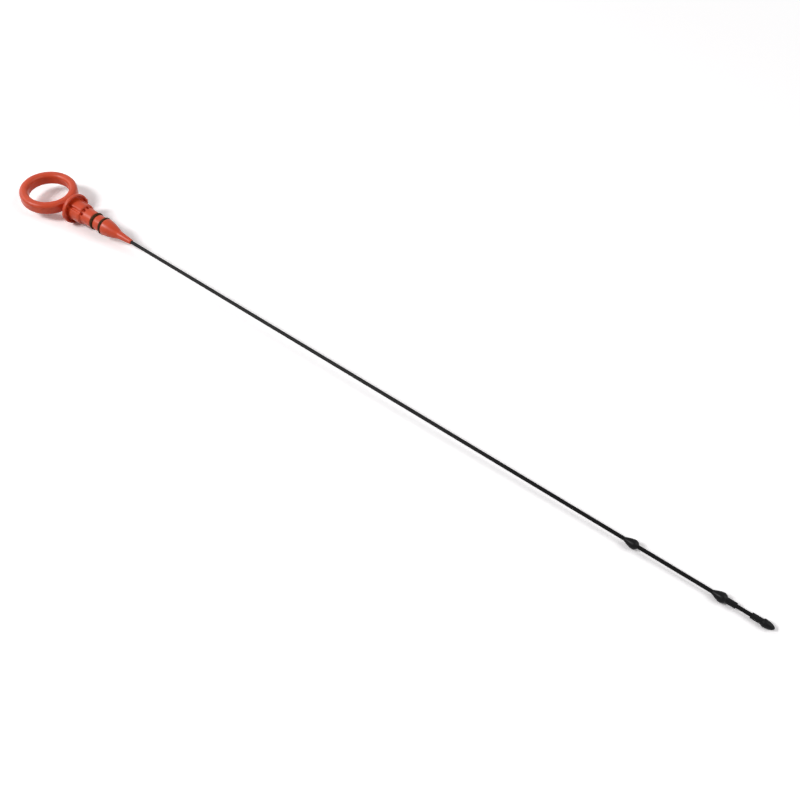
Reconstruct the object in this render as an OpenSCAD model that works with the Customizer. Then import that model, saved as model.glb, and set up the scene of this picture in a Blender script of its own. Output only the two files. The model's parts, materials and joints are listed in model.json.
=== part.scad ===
// Engine oil dipstick: a moulded finger-ring handle with a sealing plug, two sealing rings,
// a slim rod, two guide beads and a gauge tip.
// Every piece is drawn along +X, from the seat under the flange towards the tip. The finger
// ring lies in the XY plane. The whole is then tipped so that the flange and the lower bead
// lie on one level surface.

/* [Finger ring] */
// Outer diameter of the finger ring
ring_d = 38.2; // [30:0.2:50]
// Width of the ring's bar, from the hole to the outside
ring_bar_w = 5.7; // [5:0.1:8]
// Height of the ring's bar, square to the ring
ring_bar_h = 8.3; // [5:0.1:10]
// Radius along the bar's four edges
ring_edge_r = 2.3; // [0.5:0.1:2.4]

/* [Neck] */
// Length of the neck between the ring and the flange
neck_len = 4.8; // [4:0.1:15]
// Diameter of the neck
neck_d = 7.6; // [6:0.1:10]
// Radius of the flare where the neck meets the flange
neck_flare_r = 1.6; // [0.5:0.1:2]
// Height of the web that joins ring and flange on both sides of the neck
web_h = 6.6; // [3:0.1:7]
// Radius of the two hollow curves between ring, web and flange
web_r = 2.6; // [1:0.1:4]

/* [Flange] */
// Diameter of the flange that closes the tube's mouth
flange_d = 21; // [20:0.1:26]
// Thickness of the flange at its rim
flange_t = 2.4; // [2:0.1:4]
// Rise of the flange's back from the rim to the neck
flange_rise = 0.6; // [0.2:0.1:1.5]
// Radius along both edges of the rim
flange_edge_r = 0.5; // [0.2:0.1:0.8]
// Depth of the two flats on the rim, above and below, which keep the dipstick from rolling
flat_depth = 0.25; // [0.15:0.05:0.45]
// Width of the flat seat ring under the rim
seat_w = 0.8; // [0.5:0.1:1.4]
// Depth of the round hollow inside the seat ring
hollow_depth = 1.7; // [0.3:0.1:2]
// How far the two side lugs stand out of the rim
lug_out = 0.6; // [0.3:0.1:3]
// Width of each side lug
lug_w = 3.2; // [1:0.1:5]
// Thickness of each side lug
lug_t = 1.4; // [0.8:0.1:1.6]

/* [Barrel] */
// Diameter of the fluted barrel at its shoulder
barrel_d = 14.2; // [13.4:0.1:14.6]
// Draft of the barrel: how much wider it is at the flange
barrel_draft = 0.8; // [0:0.1:1.6]
// Length of the barrel, from the seat to its shoulder
barrel_len = 9.4; // [5:0.1:12]
// Bevel along the barrel's shoulder
barrel_bevel = 0.4; // [0.1:0.1:0.6]
// Angle of each flute from the ring's normal
flute_angle = 41; // [30:1:60]
// Diameter of the round tool that would cut one flute
flute_d = 2.2; // [1:0.1:2.6]
// Depth of a flute at the shoulder
flute_depth = 0.9; // [0.3:0.1:1]
// Width of each core pocket at the foot of the shoulder
pocket_w = 1.9; // [1:0.1:2.4]
// Length of each core pocket along the plug
pocket_len = 1.7; // [0.6:0.1:2.4]
// Depth of each core pocket below the plug's surface
pocket_depth = 1.2; // [0.4:0.1:1.5]
// Angle between neighbouring core pockets
pocket_step = 31; // [26:1:40]

/* [Sealing plug] */
// Diameter of the plug at the first sealing ring
plug_d = 11.2; // [10.4:0.1:11.4]
// Draft of the plug: how much wider it is at the shoulder
plug_draft = 0.5; // [0:0.1:0.9]
// Distance from the seat to the middle of the first sealing ring
seal_x = 19.1; // [16:0.1:30]
// Distance between the middles of the two sealing rings
seal_step = 7.3; // [4:0.1:12]
// Inner diameter of each sealing ring
seal_d = 8.3; // [7:0.1:8.8]
// Thickness of each sealing ring
seal_t = 2; // [1.4:0.1:2.4]
// Side play of a sealing ring in its groove
seal_play = 0.4; // [0.1:0.1:0.6]
// Diameter of the land between the two grooves
land_d = 10.7; // [9.6:0.1:11]

/* [Nose] */
// Diameter of the nose at its base
nose_d = 11.8; // [10:0.1:12.4]
// Length of the nose, from the second groove to its waist
nose_len = 12.3; // [9:0.1:24]
// How full the nose is: 1 is a plain cone
nose_fullness = 1.5; // [1:0.05:2]
// Diameter of the waist where the nose meets the sleeve
waist_d = 5.7; // [4.4:0.1:7]
// Length of the sleeve around the rod
sleeve_len = 11.2; // [6:0.1:20]
// Diameter of the sleeve where it is cut off
sleeve_end_d = 3.5; // [3:0.1:4]
// Radius of the rounded end of the sleeve
sleeve_round = 0.6; // [0.2:0.1:0.8]

/* [Rod] */
// Diameter of the rod
rod_d = 2.3; // [1.6:0.1:2.6]
// Distance from the seat to the rod's buried end
rod_in = 6; // [2:0.5:12]
// Number of locking grooves that hold the rod in the handle
handle_locks = 4; // [1:1:6]
// Depth of the locking grooves in the rod
lock_depth = 0.2; // [0.1:0.05:0.3]
// Width of each locking groove
lock_w = 1; // [0.5:0.1:2]

/* [Guide beads] */
// Distance from the seat to the widest point of the upper bead
upper_bead_x = 424.3; // [150:0.1:600]
// Diameter of the upper bead
upper_bead_d = 5.8; // [4.4:0.1:8]
// Distance between the widest points of the two beads
bead_step = 52.5; // [30:0.1:120]
// Diameter of the lower bead
lower_bead_d = 6.2; // [4.4:0.1:8]
// Length of a bead's taper towards the handle
bead_front = 5.6; // [4:0.1:12]
// How full that taper is: 1 is a plain cone
bead_fullness = 1.45; // [1:0.05:2]
// Length of a bead's rounded end towards the tip
bead_back = 3.1; // [3:0.1:8]
// Diameter of the collar behind the lower bead
collar_d = 3.6; // [3:0.1:4.2]
// Distance from the lower bead's widest point to the collar's end
collar_len = 8.2; // [6:0.1:20]

/* [Gauge tip] */
// Length of bare rod between the collar and the tip's sleeve
gauge_len = 8.5; // [5:0.1:40]
// Length of the tip's sleeve
tip_sleeve_len = 6; // [4:0.1:15]
// Diameter of the tip's sleeve
tip_sleeve_d = 3.6; // [3:0.1:4.2]
// Diameter of the arrow-shaped end
tip_d = 4.9; // [4.4:0.1:7]
// Length of the arrow-shaped end
tip_len = 7.1; // [6:0.1:15]
// Length of the bevel behind the arrow-shaped end
tip_bevel = 0.8; // [0.3:0.1:1]
// Plastic left between the rod's end and the point
tip_wall = 3; // [1.5:0.1:4]

/* [Hidden] */
$fn = 96;

// Spare length by which a cutter passes the surface that it leaves
cut = 1;
// Straight steps in the small edge rounds and in the long curves
edge_steps = 5;
curve_steps = 14;

ring_r = (ring_d - ring_bar_w) / 2;
ring_x = -flange_t - neck_len - ring_d / 2;
flange_r = flange_d / 2;
seat_in_r = flange_r - flange_edge_r - seat_w;
rim_mid_x = -flange_t / 2;
web_x = -flange_t - web_r;
web_y = sqrt(pow(ring_d / 2 + web_r, 2) - pow(web_x - ring_x, 2));
groove_w = seal_t + seal_play;
groove_1_x = seal_x - groove_w / 2;
groove_2_x = seal_x + seal_step - groove_w / 2;
nose_x = groove_2_x + groove_w;
waist_x = nose_x + nose_len;
sleeve_x = waist_x + sleeve_len;
lower_bead_x = upper_bead_x + bead_step;
collar_x = lower_bead_x + collar_len;
tip_x = collar_x + gauge_len;
arrow_x = tip_x + tip_sleeve_len;
point_x = arrow_x + tip_len;
rod_end_x = point_x - tip_wall;

// The level surface touches the lower flat of the flange's rim and the widest ring of the lower bead
rest_drop = flange_r - flat_depth - lower_bead_d / 2;
rest_tilt = atan(rest_drop / lower_bead_x);

// Points of a round edge, as [distance along the axis, radius]
function arc(x, r, edge, from, to) =
    [for (i = [0 : edge_steps]) let (a = from + (to - from) * i / edge_steps)
        [x + edge * cos(a), r + edge * sin(a)]];

// Points of the long curves: t runs from 0 at the start to 1 at the end
function full(t, power) = 1 - pow(1 - t, power);
function oval(t) = sqrt(1 - t * t);

neck_profile = concat(
    [[ring_x + ring_r, 0], [ring_x + ring_r, neck_d / 2]],
    arc(-flange_t - flange_rise - neck_flare_r, neck_d / 2 + neck_flare_r, neck_flare_r, 270, 360));

rim_profile = concat(
    arc(-flange_t + flange_edge_r, flange_r - flange_edge_r, flange_edge_r, 180, 90),
    arc(-flange_edge_r, flange_r - flange_edge_r, flange_edge_r, 90, 0));

barrel_profile = [
    [0, seat_in_r], [-hollow_depth, seat_in_r - hollow_depth / 3],
    [-hollow_depth, (barrel_d + barrel_draft) / 2],
    [barrel_len - barrel_bevel, barrel_d / 2], [barrel_len, barrel_d / 2 - barrel_bevel],
    [barrel_len, (plug_d + plug_draft) / 2]];

plug_profile = [
    [groove_1_x, plug_d / 2], [groove_1_x, seal_d / 2],
    [groove_1_x + groove_w, seal_d / 2], [groove_1_x + groove_w, land_d / 2],
    [groove_2_x, land_d / 2], [groove_2_x, seal_d / 2],
    [nose_x, seal_d / 2]];

nose_profile = [for (i = [0 : curve_steps]) let (t = i / curve_steps)
    [nose_x + nose_len * t, (waist_d + (nose_d - waist_d) * full(1 - t, nose_fullness)) / 2]];

sleeve_profile = concat(
    arc(sleeve_x - sleeve_round, sleeve_end_d / 2 - sleeve_round, sleeve_round, 90, 0),
    [[sleeve_x, 0]]);

// A solid of revolution about the X axis, from points as [distance along the axis, radius]
module turned(points) {
    rotate([0, 90, 0]) rotate_extrude() polygon([for (p = points) [p[1], p[0]]]);
}

// A round bar about the X axis
module bar(d, from, to) {
    translate([from, 0, 0]) rotate([0, 90, 0]) cylinder(d = d, h = to - from);
}

// The finished dipstick as it lies, tip down
module lying() {
    rotate([0, rest_tilt, 0]) children();
}

module ring_section() {
    square([ring_bar_w - 2 * ring_edge_r, ring_bar_h], center = true);
    square([ring_bar_w, ring_bar_h - 2 * ring_edge_r], center = true);
    for (x = [-1, 1], y = [-1, 1])
        translate([x * (ring_bar_w / 2 - ring_edge_r), y * (ring_bar_h / 2 - ring_edge_r)])
            circle(ring_edge_r);
}

module finger_ring() {
    translate([ring_x, 0, 0]) rotate_extrude() translate([ring_r, 0]) ring_section();
}

// The web between ring and flange. Each side is one hollow curve that touches both.
module neck_web() {
    difference() {
        translate([ring_x, -web_y, -web_h / 2])
            cube([-flange_t - ring_x, 2 * web_y, web_h]);
        translate([ring_x, 0, -web_h / 2 - cut])
            cylinder(r = ring_r, h = web_h + 2 * cut);
        for (side = [-1, 1])
            translate([web_x, side * web_y, -web_h / 2 - cut])
                cylinder(r = web_r, h = web_h + 2 * cut);
    }
}

module flange_lugs() {
    for (side = [-1, 1])
        translate([rim_mid_x - lug_t / 2, side * flange_r - lug_out, -lug_w / 2])
            cube([lug_t, 2 * lug_out, lug_w]);
}

module rim_flats() {
    for (side = [0, 180])
        rotate([side, 0, 0])
            translate([-flange_t - cut, -flange_r, flange_r - flat_depth])
                cube([flange_t + 2 * cut, flange_d, flat_depth + cut]);
}

// Flutes along the barrel, two on each side of the ring's plane
module flutes() {
    for (side = [0, 180], angle = [-flute_angle, flute_angle])
        rotate([side + angle, 0, 0])
            translate([-hollow_depth, 0, barrel_d / 2 - flute_depth + flute_d / 2])
                rotate([0, 90, 0]) cylinder(d = flute_d, h = hollow_depth + barrel_len);
}

// Core pockets at the foot of the shoulder, four on each side of the ring's plane
module pockets() {
    for (side = [0, 180], i = [-1.5 : 1.5])
        rotate([side + i * pocket_step, 0, 0])
            translate([barrel_len - cut / 2, -pocket_w / 2, plug_d / 2 - pocket_depth])
                cube([cut / 2 + pocket_len, pocket_w, pocket_depth + cut / 2]);
}

// The rod's whole form, which the pieces moulded on it also leave free
module rod_form() {
    difference() {
        bar(rod_d, rod_in, rod_end_x);
        for (i = [0 : handle_locks - 1])
            lock_groove(rod_in + (2 * i + 1) * lock_w);
        for (x = [upper_bead_x, lower_bead_x, arrow_x])
            lock_groove(x - lock_w / 2);
    }
}

module lock_groove(x) {
    difference() {
        bar(rod_d + cut, x, x + lock_w);
        bar(rod_d - 2 * lock_depth, x - cut, x + lock_w + cut);
    }
}

module handle() {
    color("orangered") lying() difference() {
        union() {
            finger_ring();
            neck_web();
            flange_lugs();
            turned(concat(neck_profile, rim_profile, barrel_profile, plug_profile, nose_profile,
                          sleeve_profile));
        }
        rim_flats();
        flutes();
        pockets();
        rod_form();
    }
}

module seal_ring(x) {
    color("dimgray") lying() translate([x, 0, 0]) rotate([0, 90, 0])
        rotate_extrude() translate([(seal_d + seal_t) / 2, 0]) circle(d = seal_t);
}

module rod() {
    color("darkslategray") lying() rod_form();
}

// Half outline of a bead: a full taper up to the widest point, then an oval end
function bead_front_profile(x, d) = concat([[x - bead_front, 0]],
    [for (i = [0 : curve_steps]) let (t = i / curve_steps)
        [x - bead_front + bead_front * t, (rod_d + (d - rod_d) * full(t, bead_fullness)) / 2]]);

function bead_back_profile(x, d, end_d) = let (last = bead_back * sqrt(1 - pow(end_d / d, 2)))
    [for (i = [1 : curve_steps]) let (t = i / curve_steps)
        [x + last * t, d / 2 * oval(last * t / bead_back)]];

module upper_guide_bead() {
    color("black") lying() difference() {
        turned(concat(
            bead_front_profile(upper_bead_x, upper_bead_d),
            bead_back_profile(upper_bead_x, upper_bead_d, rod_d + 0.3),
            [[upper_bead_x + bead_back, 0]]));
        rod_form();
    }
}

module lower_guide_bead() {
    color("black") lying() difference() {
        turned(concat(
            bead_front_profile(lower_bead_x, lower_bead_d),
            bead_back_profile(lower_bead_x, lower_bead_d, collar_d),
            [[collar_x, collar_d / 2], [collar_x, 0]]));
        rod_form();
    }
}

module gauge_tip() {
    color("black") lying() difference() {
        turned(concat(
            [[tip_x, 0], [tip_x, tip_sleeve_d / 2],
             [arrow_x, tip_sleeve_d / 2], [arrow_x + tip_bevel, tip_d / 2]],
            [for (i = [1 : curve_steps]) let (a = 90 * i / curve_steps)
                [arrow_x + tip_bevel + (tip_len - tip_bevel) * sin(a), tip_d / 2 * cos(a)]]));
        rod_form();
    }
}

handle();
seal_ring(seal_x);  // upper_seal_ring
seal_ring(seal_x + seal_step);  // lower_seal_ring
rod();
upper_guide_bead();
lower_guide_bead();
gauge_tip();
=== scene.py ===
# Looks for an engine oil dipstick: moulded finger-ring handle, sealing rings, coated rod,
# guide beads and gauge tip, lying on a white studio floor. Lengths are in metres.
import json
import math

import bmesh
import bpy
from mathutils import Matrix, Vector


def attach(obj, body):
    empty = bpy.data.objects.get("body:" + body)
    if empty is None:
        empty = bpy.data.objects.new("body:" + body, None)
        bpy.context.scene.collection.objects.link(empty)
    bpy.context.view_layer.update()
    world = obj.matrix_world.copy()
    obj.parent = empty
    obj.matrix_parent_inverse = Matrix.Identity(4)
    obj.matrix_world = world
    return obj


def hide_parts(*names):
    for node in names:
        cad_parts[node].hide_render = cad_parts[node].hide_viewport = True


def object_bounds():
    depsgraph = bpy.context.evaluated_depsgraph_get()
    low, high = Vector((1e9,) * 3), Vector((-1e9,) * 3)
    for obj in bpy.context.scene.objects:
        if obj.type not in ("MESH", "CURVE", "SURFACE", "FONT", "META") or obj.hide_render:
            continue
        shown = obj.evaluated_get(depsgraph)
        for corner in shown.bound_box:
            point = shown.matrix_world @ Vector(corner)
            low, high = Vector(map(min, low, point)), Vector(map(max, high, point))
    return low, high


MM = 0.001

# Camera: where it stands, the point on the floor at the middle of the picture, and its roll.
# The lens and the sensor are in millimetres.
CAMERA_PLACE = Vector((0.42886, -0.29940, 0.41915))
CAMERA_AIM = Vector((0.26441, 0.00679, -0.01025))
CAMERA_ROLL = math.radians(7.791)
CAMERA_NEAR = 0.01
CAMERA_LENS = 40.889
CAMERA_SENSOR = 36.0

# Studio: the side of the square floor, and how far it lies under the dipstick
FLOOR_SIDE = 6.0
FLOOR_GAP = 0.02 * MM
# The floor that is seen runs into the white background between these distances
FADE_START = 0.45
FADE_END = 0.80
WHITE = (1.0, 1.0, 1.0, 1.0)
# The floor as the light finds it, and as it is seen: over 1, so that only shadows show on it
FLOOR_PAPER = (0.45, 0.45, 0.45, 1.0)
FLOOR_SEEN = (1.37, 1.35, 1.36, 1.0)
# Strength of the light that comes from all around
FILL = 0.22
# Soft boxes: name, azimuth, elevation, width and height in metres, watts
LIGHTS = [
    ("key", 231.0, 44.0, 0.70, 0.70, 34.0),
    ("side", 180.0, 30.0, 1.50, 1.00, 10.0),
    ("back", 18.0, 44.0, 1.60, 1.60, 18.0),
]
LIGHT_AWAY = 2.5
LIGHT_AIM = Vector((0.15, 0.0, 0.0))

# The dipstick lies with its tip this much lower than its ring
REST_TILT = math.radians(0.8591)

# Colours as they show on a screen, 0 to 255
HANDLE_DEEP = (204, 64, 25)
HANDLE_BRIGHT = (216, 75, 33)
HANDLE_SPECK = (222, 104, 74)
HANDLE_RUBBED = (226, 108, 80)
RUBBER_DARK = (54, 34, 14)
RUBBER_BLOOM = (80, 54, 28)
ROD_BLACK = (4, 4, 5)
# Painted sheen: the grey that stands for a reflection on the rod near the handle
ROD_PAINTED_SHEEN = (37, 37, 37)
ROD_DRAWN = (50, 49, 49)
BEAD_DARK = (3, 3, 4)
BEAD_LIGHT = (7, 7, 9)
BEAD_SCUFFED = (40, 40, 42)

# The parting line: half its width, where its sides end, and its height
LINE_HALF = 0.05 * MM
LINE_FOOT = 0.20 * MM
LINE_HEIGHT = 0.05 * MM
# Painted sheen: the rod is painted grey, as a reflection, up to the first of these places along it,
# and black from the second
SHEEN_FULL_TO = 0.25
SHEEN_GONE_FROM = 0.37
# The beads are scuffed between these distances from the axis, the outer one most
SCUFF_FROM = 2.3 * MM
SCUFF_FULL = 3.0 * MM

# Side of the cells that the handle's soft-edged copy is built from
VOXEL = 0.28 * MM
# The small turned pieces: corners under this distance weld, edges over this angle are real ones
WELD = 0.002 * MM
REAL_EDGE = math.radians(30)
# Triangles under both of these angles join: between the two faces, and off a true rectangle
SAME_FACE = math.radians(4)
SQUARE_ENOUGH = math.radians(40)
# Real edges further than this from the axis are eased by this much
EASE_OVER = 1.5 * MM
EASE = 0.10 * MM
EASE_STEPS = 2
CURVE_LEVELS = 2
TURNED_PIECES = ("upper_guide_bead", "lower_guide_bead", "gauge_tip")


def camera():
    """Looks at the dipstick as the photographer did."""
    data = bpy.data.cameras.new("camera")
    data.lens = CAMERA_LENS
    data.sensor_width = CAMERA_SENSOR
    data.clip_start = CAMERA_NEAR
    obj = bpy.data.objects.new("camera", data)
    bpy.context.scene.collection.objects.link(obj)
    turn = (CAMERA_AIM - CAMERA_PLACE).to_track_quat("-Z", "Y").to_matrix().to_4x4()
    roll = Matrix.Rotation(CAMERA_ROLL, 4, "Z")
    obj.matrix_world = Matrix.Translation(CAMERA_PLACE) @ turn @ roll
    bpy.context.scene.camera = obj


class Nodes:
    """A small helper that adds shader nodes to one node tree and links them."""

    def __init__(self, tree):
        self.tree = tree
        tree.nodes.clear()

    def feed(self, socket, value):
        """Links value to the socket if it is another node's output, or else sets it there."""
        if isinstance(value, bpy.types.NodeSocket):
            self.tree.links.new(value, socket)
        else:
            socket.default_value = value

    def add(self, kind, **inputs):
        """Adds a node. The name of an input has an underscore where Blender has a space."""
        node = self.tree.nodes.new(kind)
        for name, value in inputs.items():
            self.feed(node.inputs[name.replace("_", " ")], value)
        return node

    def math(self, operation, a, b=0.0, clamp=False):
        node = self.tree.nodes.new("ShaderNodeMath")
        node.operation = operation
        node.use_clamp = clamp
        self.feed(node.inputs[0], a)
        self.feed(node.inputs[1], b)
        return node.outputs[0]

    def length(self, vector):
        node = self.add("ShaderNodeVectorMath", Vector=vector)
        node.operation = "LENGTH"
        return node.outputs["Value"]

    def stretched(self, place, along):
        """The same coordinates, with a pattern on them drawn out along the dipstick."""
        return self.add("ShaderNodeMapping", Vector=place, Scale=(along, 1.0, 1.0)).outputs[0]

    def noise(self, place, scale, detail=3.0, roughness=0.55):
        node = self.add("ShaderNodeTexNoise", Vector=place, Scale=scale, Detail=detail,
                        Roughness=roughness)
        return node.outputs["Fac"]

    def spread(self, value, low, high, to_low=0.0, to_high=1.0):
        """Maps value from low..high to to_low..to_high, and holds it at the ends."""
        node = self.add("ShaderNodeMapRange", Value=value, From_Min=low, From_Max=high,
                        To_Min=to_low, To_Max=to_high)
        node.clamp = True
        return node.outputs[0]

    def blend(self, factor, a, b):
        """A colour between a and b."""
        node = self.tree.nodes.new("ShaderNodeMix")
        node.data_type = "RGBA"
        # The node has sockets for each data type, and these are the ones for colours
        for index, value in ((0, factor), (6, a), (7, b)):
            self.feed(node.inputs[index], value)
        return node.outputs[2]

    def bump(self, height, distance, strength, under=None):
        node = self.add("ShaderNodeBump", Height=height, Distance=distance, Strength=strength)
        if under is not None:
            self.feed(node.inputs["Normal"], under)
        return node.outputs["Normal"]

    def either(self, factor, a, b):
        """Shader a where factor is 0 and shader b where it is 1."""
        node = self.add("ShaderNodeMixShader", Fac=factor)
        self.feed(node.inputs[1], a.outputs[0])
        self.feed(node.inputs[2], b.outputs[0])
        return node

    def end(self, kind, shader):
        self.add(kind, Surface=shader.outputs[0])


def material(name):
    made = bpy.data.materials.new(name)
    made.use_nodes = True
    return made, Nodes(made.node_tree)


def linear(screen):
    """A colour as it shows on a screen, 0 to 255, turned into the shader's own values."""
    def one(value):
        value /= 255
        return value / 12.92 if value <= 0.04045 else ((value + 0.055) / 1.055) ** 2.4
    return tuple(one(value) for value in screen) + (1.0,)


def surface(n, **inputs):
    """Ends a material with one plastic, rubber or metal surface."""
    n.end("ShaderNodeOutputMaterial", n.add("ShaderNodeBsdfPrincipled", **inputs))


def mould_place(n):
    """Coordinates along the dipstick itself: x along its axis, z square to the finger ring."""
    place = n.add("ShaderNodeTexCoord").outputs["Object"]
    turned = n.add("ShaderNodeVectorRotate", Vector=place, Angle=-REST_TILT)
    turned.rotation_type = "Y_AXIS"
    return turned.outputs[0]


def handle_plastic():
    """Orange-red glass-filled plastic: flow clouds, fine grain, a parting line, rubbed edges."""
    made, n = material("handle_plastic")
    place = mould_place(n)
    axes = n.add("ShaderNodeSeparateXYZ", Vector=place)
    clouds = n.noise(place, scale=150.0, detail=4.0)
    specks = n.noise(place, scale=2600.0, roughness=0.7)
    grain = n.noise(place, scale=5200.0, detail=2.0)
    colour = n.blend(n.spread(clouds, 0.35, 0.65), linear(HANDLE_DEEP), linear(HANDLE_BRIGHT))
    colour = n.blend(n.spread(specks, 0.60, 0.72, to_high=0.35), colour, linear(HANDLE_SPECK))
    # Edges that fingers and the filler tube rub are a little paler and smoother
    edge = n.spread(n.add("ShaderNodeNewGeometry").outputs["Pointiness"], 0.52, 0.60)
    patches = n.spread(n.noise(place, scale=420.0, detail=4.0), 0.42, 0.62, to_high=0.5)
    rubbed = n.math("MULTIPLY", edge, patches)
    colour = n.blend(rubbed, colour, linear(HANDLE_RUBBED))
    rough = n.spread(clouds, 0.3, 0.7, to_low=0.33, to_high=0.43)
    rough = n.math("SUBTRACT", rough, n.math("MULTIPLY", rubbed, 0.15))
    # The parting line runs around the ring and both sides of the plug, in the ring's plane
    off_plane = n.math("ABSOLUTE", axes.outputs["Z"])
    line = n.spread(off_plane, LINE_HALF, LINE_FOOT, to_low=1.0, to_high=0.0)
    ridge = n.bump(line, LINE_HEIGHT, strength=0.8)
    waves = n.bump(n.noise(place, scale=260.0, detail=2.0), 0.10 * MM, strength=0.25, under=ridge)
    surface(n, Base_Color=colour, Roughness=rough, Specular_IOR_Level=0.44,
            Normal=n.bump(grain, 0.02 * MM, strength=0.4, under=waves))
    return made


def seal_rubber():
    """Brown-black rubber with a dull bloom and a film of oil dust."""
    made, n = material("seal_rubber")
    place = mould_place(n)
    bloom = n.noise(place, scale=700.0, detail=4.0)
    grain = n.noise(place, scale=4200.0)
    colour = n.blend(n.spread(bloom, 0.4, 0.7), linear(RUBBER_DARK), linear(RUBBER_BLOOM))
    rough = n.spread(bloom, 0.3, 0.7, to_low=0.50, to_high=0.68)
    surface(n, Base_Color=colour, Roughness=rough, Specular_IOR_Level=0.12,
            Normal=n.bump(grain, 0.012 * MM, strength=0.5))
    return made


def rod_coating():
    """Blackened spring steel: long draw lines, and a painted sheen that greys it towards the handle.
    """
    made, n = material("rod_coating")
    place = mould_place(n)
    draw = n.noise(n.stretched(place, along=0.03), scale=5200.0)
    cloud = n.noise(place, scale=90.0, detail=4.0)
    along = n.add("ShaderNodeSeparateXYZ", Vector=place).outputs["X"]
    # Painted sheen: a grey reflection painted on the rod near the handle, patchy by the cloud noise,
    # black further out
    sheen_reach = n.spread(along, SHEEN_FULL_TO, SHEEN_GONE_FROM, to_low=1.0, to_high=0.0)
    painted_sheen = n.math("MULTIPLY", sheen_reach, n.spread(cloud, 0.2, 0.8, to_low=0.75))
    colour = n.blend(painted_sheen, linear(ROD_BLACK), linear(ROD_PAINTED_SHEEN))
    colour = n.blend(n.spread(draw, 0.55, 0.75, to_high=0.22), colour, linear(ROD_DRAWN))
    rough = n.spread(draw, 0.3, 0.7, to_low=0.40, to_high=0.52)
    surface(n, Base_Color=colour, Roughness=rough, Specular_IOR_Level=0.11,
            Normal=n.bump(draw, 0.008 * MM, strength=0.4))
    return made


def bead_plastic():
    """Black plastic moulded on the rod: fine eroded grain, and scuffs at the widest places."""
    made, n = material("bead_plastic")
    place = mould_place(n)
    cloud = n.noise(place, scale=420.0)
    grain = n.noise(place, scale=4600.0)
    colour = n.blend(n.spread(cloud, 0.35, 0.65), linear(BEAD_DARK), linear(BEAD_LIGHT))
    axes = n.add("ShaderNodeSeparateXYZ", Vector=place).outputs
    across = n.add("ShaderNodeCombineXYZ", Y=axes["Y"], Z=axes["Z"]).outputs[0]
    crown = n.spread(n.length(across), SCUFF_FROM, SCUFF_FULL)
    scratches = n.noise(n.stretched(place, along=0.15), scale=3000.0)
    scuff = n.math("MULTIPLY", crown, n.spread(scratches, 0.50, 0.64, to_high=0.45))
    colour = n.blend(scuff, colour, linear(BEAD_SCUFFED))
    rough = n.spread(cloud, 0.3, 0.7, to_low=0.32, to_high=0.42)
    surface(n, Base_Color=colour, Roughness=rough, Specular_IOR_Level=0.14,
            Normal=n.bump(grain, 0.015 * MM, strength=0.4))
    return made


MATERIALS = {
    "handle_plastic": handle_plastic,
    "seal_rubber": seal_rubber,
    "rod_coating": rod_coating,
    "bead_plastic": bead_plastic,
}


def keep_modified(obj):
    """Gives the object the mesh that its modifiers make, and takes the modifiers off."""
    graph = bpy.context.evaluated_depsgraph_get()
    before = obj.data
    made = bpy.data.meshes.new_from_object(obj.evaluated_get(graph))
    obj.modifiers.clear()
    obj.data = made
    bpy.data.meshes.remove(before)


def moulded_handle(frame):
    """The handle as it leaves its mould: the same form with soft edges, by remeshing a copy."""
    mesh = frame["nodes"]["handle"].data.copy()
    obj = bpy.data.objects.new("handle_moulded", mesh)
    bpy.context.scene.collection.objects.link(obj)
    grid = obj.modifiers.new("grid", "REMESH")
    grid.mode = "VOXEL"
    grid.voxel_size = VOXEL
    grid.use_smooth_shade = True
    ease = obj.modifiers.new("ease", "SMOOTH")
    ease.factor = 0.5
    ease.iterations = 2
    keep_modified(obj)
    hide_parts("handle")
    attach(obj, "root")
    return obj


def real_edges(shape, wanted):
    """The edges between two different surfaces whose distance from the axis is a wanted one."""
    level = Matrix.Rotation(-REST_TILT, 3, "Y")

    def off_axis(edge):
        return min((level @ vert.co).yz.length for vert in edge.verts)

    return [edge for edge in shape.edges
            if edge.calc_face_angle() > REAL_EDGE and wanted(off_axis(edge))]


def turned_piece(frame, node):
    """A bead or the tip as it leaves its mould: its bands run into one curve, its edges are eased."""
    mesh = frame["nodes"][node].data.copy()
    mesh.attributes.remove(mesh.attributes["custom_normal"])
    shape = bmesh.new()
    shape.from_mesh(mesh)
    bmesh.ops.remove_doubles(shape, verts=shape.verts, dist=WELD)
    bmesh.ops.join_triangles(shape, faces=shape.faces, angle_face_threshold=SAME_FACE,
                             angle_shape_threshold=SQUARE_ENOUGH)
    outer = real_edges(shape, lambda distance: distance > EASE_OVER)
    bmesh.ops.bevel(shape, geom=outer, offset=EASE, offset_type="OFFSET", segments=EASE_STEPS,
                    profile=0.5, affect="EDGES", clamp_overlap=True)
    # The edges where the rod comes out stay sharp under the curve
    crease = shape.edges.layers.float.new("crease_edge")
    for edge in real_edges(shape, lambda distance: distance < EASE_OVER):
        edge[crease] = 1.0
    shape.to_mesh(mesh)
    shape.free()
    obj = bpy.data.objects.new(node + "_moulded", mesh)
    bpy.context.scene.collection.objects.link(obj)
    curve = obj.modifiers.new("curve", "SUBSURF")
    curve.levels = curve.render_levels = CURVE_LEVELS
    keep_modified(obj)
    obj.data.shade_smooth()
    obj.data.set_sharp_from_angle(angle=REAL_EDGE)
    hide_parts(node)
    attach(obj, "root")
    return obj


def paint(obj, made):
    obj.data.materials.clear()
    obj.data.materials.append(made)


def dress(frame):
    """Gives each piece its material, and the handle, beads and tip their moulded shapes."""
    made = {slot: make() for slot, make in MATERIALS.items()}
    for part in frame["record"]["subparts"]:
        paint(frame["nodes"][part["node"]], made[part["material_slot"]])
    paint(moulded_handle(frame), made["handle_plastic"])
    for node in TURNED_PIECES:
        paint(turned_piece(frame, node), made["bead_plastic"])


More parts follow.
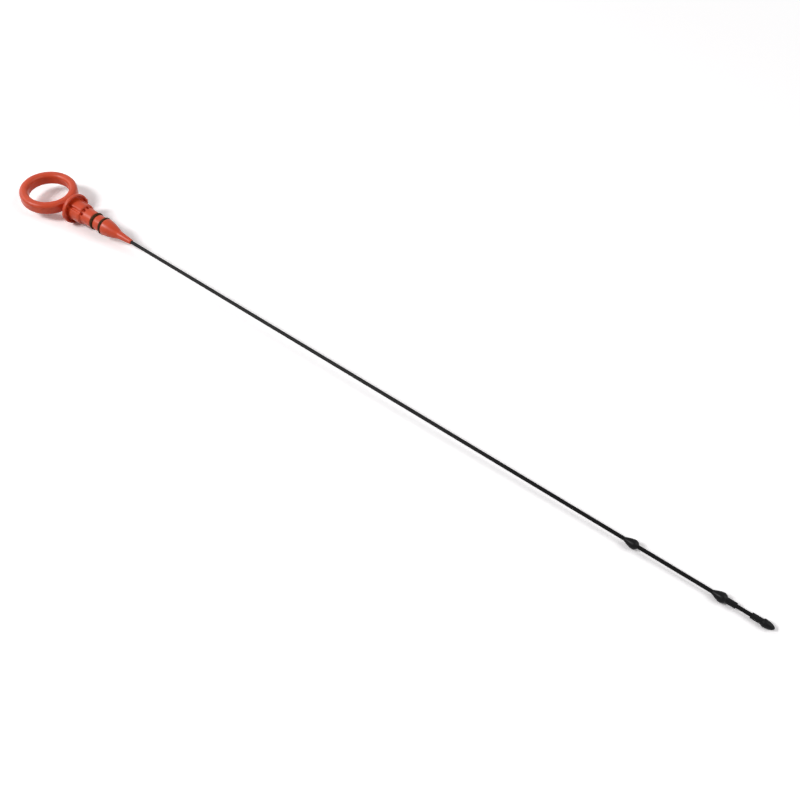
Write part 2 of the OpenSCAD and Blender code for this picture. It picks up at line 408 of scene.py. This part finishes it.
def soft_light(name, azimuth, elevation, width, height, watts):
    """A soft box that looks at the dipstick from the direction azimuth, elevation."""
    flat = math.cos(math.radians(elevation))
    away = LIGHT_AWAY * Vector((math.cos(math.radians(azimuth)) * flat,
                                math.sin(math.radians(azimuth)) * flat,
                                math.sin(math.radians(elevation))))
    data = bpy.data.lights.new(name, "AREA")
    data.shape = "RECTANGLE"
    data.size = width
    data.size_y = height
    data.energy = watts
    obj = bpy.data.objects.new(name, data)
    obj.visible_camera = False
    bpy.context.scene.collection.objects.link(obj)
    turn = (-away).to_track_quat("-Z", "Y").to_matrix().to_4x4()
    obj.matrix_world = Matrix.Translation(LIGHT_AIM + away) @ turn


def seen(n):
    """1 for what the camera sees straight, in a reflection or through glass, otherwise 0."""
    path = n.add("ShaderNodeLightPath")
    sight = n.math("ADD", path.outputs["Is Camera Ray"], path.outputs["Is Glossy Ray"])
    return n.math("ADD", sight, path.outputs["Is Transmission Ray"], clamp=True)


def surroundings():
    """A weak even light from all around, which is seen as plain white."""
    world = bpy.data.worlds.new("studio")
    bpy.context.scene.world = world
    world.use_nodes = True
    n = Nodes(world.node_tree)
    fill = n.add("ShaderNodeBackground", Color=WHITE, Strength=FILL)
    white = n.add("ShaderNodeBackground", Color=WHITE, Strength=1.0)
    n.end("ShaderNodeOutputWorld", n.either(seen(n), fill, white))


def floor_paper():
    """White paper that keeps the shadows near the dipstick and is plain white further out."""
    made, n = material("floor_paper")
    paper = n.add("ShaderNodeBsdfDiffuse", Color=FLOOR_PAPER)
    sheet = n.add("ShaderNodeBsdfDiffuse", Color=FLOOR_SEEN)
    bright = n.add("ShaderNodeEmission", Color=WHITE, Strength=1.0)
    away = n.length(n.add("ShaderNodeTexCoord").outputs["Object"])
    fade = n.either(n.spread(away, FADE_START, FADE_END), sheet, bright)
    n.end("ShaderNodeOutputMaterial", n.either(seen(n), paper, fade))
    return made


def floor(box):
    """A square floor with its middle under the middle of the box that the dipstick fills."""
    half = FLOOR_SIDE / 2
    mesh = bpy.data.meshes.new("floor")
    corners = [(x * half, y * half, 0.0) for x, y in ((-1, -1), (1, -1), (1, 1), (-1, 1))]
    mesh.from_pydata(corners, [], [(0, 1, 2, 3)])
    mesh.materials.append(floor_paper())
    low, high = box
    obj = bpy.data.objects.new("floor", mesh)
    obj.location = ((low[0] + high[0]) / 2, (low[1] + high[1]) / 2, low[2] - FLOOR_GAP)
    bpy.context.scene.collection.objects.link(obj)


def studio(box):
    bpy.context.scene.view_settings.view_transform = "Standard"
    surroundings()
    floor(box)
    for light in LIGHTS:
        soft_light(*light)


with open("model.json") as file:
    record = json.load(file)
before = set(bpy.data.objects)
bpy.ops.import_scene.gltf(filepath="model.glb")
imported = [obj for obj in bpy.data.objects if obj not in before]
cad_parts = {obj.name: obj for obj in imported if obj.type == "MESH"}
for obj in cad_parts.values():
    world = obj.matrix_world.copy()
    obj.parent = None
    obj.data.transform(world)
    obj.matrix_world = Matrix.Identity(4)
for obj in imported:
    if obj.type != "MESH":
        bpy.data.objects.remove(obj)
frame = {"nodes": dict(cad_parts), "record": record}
cad_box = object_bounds()
camera()
dress(frame)
studio(cad_box)
